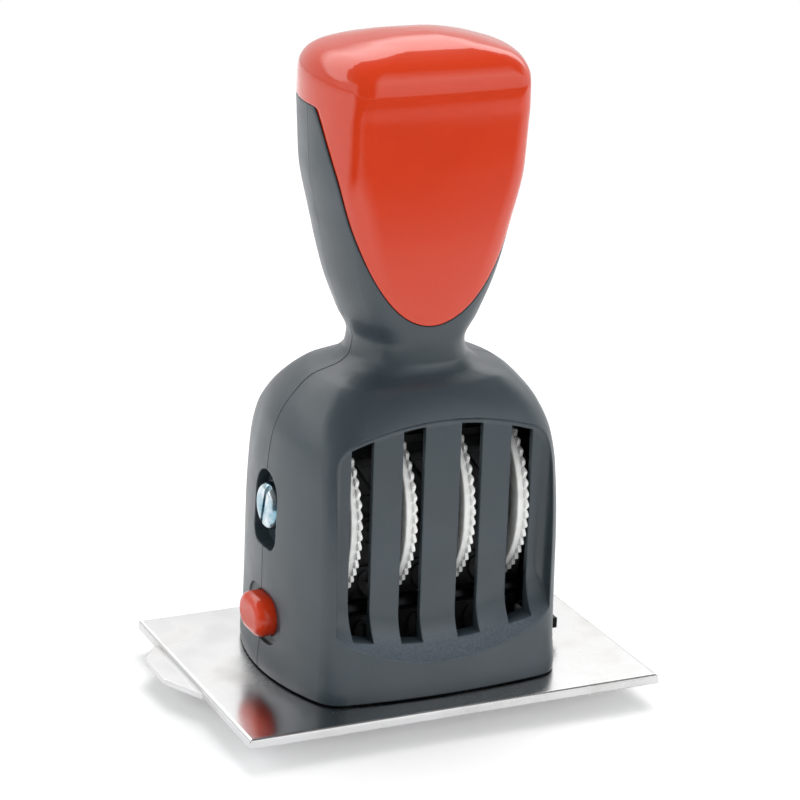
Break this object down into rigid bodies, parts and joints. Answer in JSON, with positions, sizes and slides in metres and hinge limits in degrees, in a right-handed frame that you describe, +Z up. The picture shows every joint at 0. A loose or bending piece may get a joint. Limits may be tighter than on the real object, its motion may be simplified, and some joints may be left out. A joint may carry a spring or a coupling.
{
  "type": "hand stamp",
  "caption": "Self-standing hand stamp: dark housing with toothed setting wheels in a slotted front, red-covered handle, metal text plate, side release button and lock screws.",
  "frame": {"origin": "on the printing face of the second band's foot pad, in the middle of the stamp", "axes": "+Z up the handle, +X to the right of the person who holds it, -Y towards that person, where the wheels show"},
  "size_m": [0.0736, 0.0494, 0.1069],
  "materials": {
    "housing_plastic": "satin moulded ABS, slate black",
    "cover_plastic": "glossy moulded ABS, orange red",
    "plate_metal": "bright nickel-plated sheet steel",
    "hook_metal": "blackened steel",
    "wheel_plastic": "off-white moulded acetal",
    "band_rubber": "moulded rubber",
    "frame_steel": "zinc-plated sheet steel",
    "axle_steel": "turned steel",
    "anvil_aluminium": "extruded aluminium",
    "screw_zinc": "zinc-plated steel",
    "separator_plastic": "satin moulded ABS, black",
    "button_plastic": "glossy moulded ABS, orange red",
    "rod_steel": "blackened steel",
    "spring_steel": "spring steel"
  },
  "bodies": {
    "housing": {"front_shell": "housing_plastic", "rear_shell": "housing_plastic", "handle_cover": "cover_plastic", "shell_pins": "axle_steel"},
    "band_unit": {"side_plate_left": "frame_steel", "side_plate_right": "frame_steel", "wheel_axle": "axle_steel", "axle_bush": "axle_steel", "spacer_rings": "axle_steel", "cross_rods": "rod_steel", "anvil": "anvil_aluminium", "band_separators": "separator_plastic", "detent_spring": "spring_steel", "band_1": "band_rubber", "band_2": "band_rubber", "band_3": "band_rubber", "band_4": "band_rubber", "washer_left": "screw_zinc", "washer_right": "screw_zinc"},
    "wheel_1": {"wheel_1": "wheel_plastic"},
    "wheel_2": {"wheel_2": "wheel_plastic"},
    "wheel_3": {"wheel_3": "wheel_plastic"},
    "wheel_4": {"wheel_4": "wheel_plastic"},
    "lock_screw_left": {"lock_screw_left": "screw_zinc"},
    "lock_screw_right": {"lock_screw_right": "screw_zinc"},
    "release_button": {"release_button": "button_plastic", "button_spring": "spring_steel"},
    "base_plate": {"text_plate": "plate_metal", "plate_hook": "hook_metal"}
  },
  "joints": [
    {"name": "band_height", "type": "slide", "parent": "housing", "child": "band_unit", "axis": [0, 0, 1], "range_m": [-0.0023, 0.0015]},
    {"name": "wheel_1_turn", "type": "hinge", "parent": "band_unit", "child": "wheel_1", "pos_m": [-0.0142, 0, 0.0328], "axis": [1, 0, 0], "continuous": true},
    {"name": "wheel_2_turn", "type": "hinge", "parent": "band_unit", "child": "wheel_2", "pos_m": [-0.00495, 0, 0.0328], "axis": [1, 0, 0], "continuous": true},
    {"name": "wheel_3_turn", "type": "hinge", "parent": "band_unit", "child": "wheel_3", "pos_m": [0.00495, 0, 0.0328], "axis": [1, 0, 0], "continuous": true},
    {"name": "wheel_4_turn", "type": "hinge", "parent": "band_unit", "child": "wheel_4", "pos_m": [0.0142, 0, 0.0328], "axis": [1, 0, 0], "continuous": true},
    {"name": "lock_screw_left_turn", "type": "hinge", "parent": "band_unit", "child": "lock_screw_left", "pos_m": [-0.022, 0, 0.0328], "axis": [1, 0, 0], "range_deg": [-180, 180]},
    {"name": "lock_screw_right_turn", "type": "hinge", "parent": "band_unit", "child": "lock_screw_right", "pos_m": [0.022, 0, 0.0328], "axis": [1, 0, 0], "range_deg": [-180, 180]},
    {"name": "button_press", "type": "slide", "parent": "housing", "child": "release_button", "axis": [1, 0, 0], "range_m": [0, 0.0014], "stiffness_N_per_m": 400, "springref_m": -0.003, "deforming": ["button_spring"]},
    {"name": "plate_drop", "type": "hinge", "parent": "housing", "child": "base_plate", "pos_m": [0.0225, 0, 0.0074], "axis": [0, -1, 0], "range_deg": [0, 12]}
  ]
}
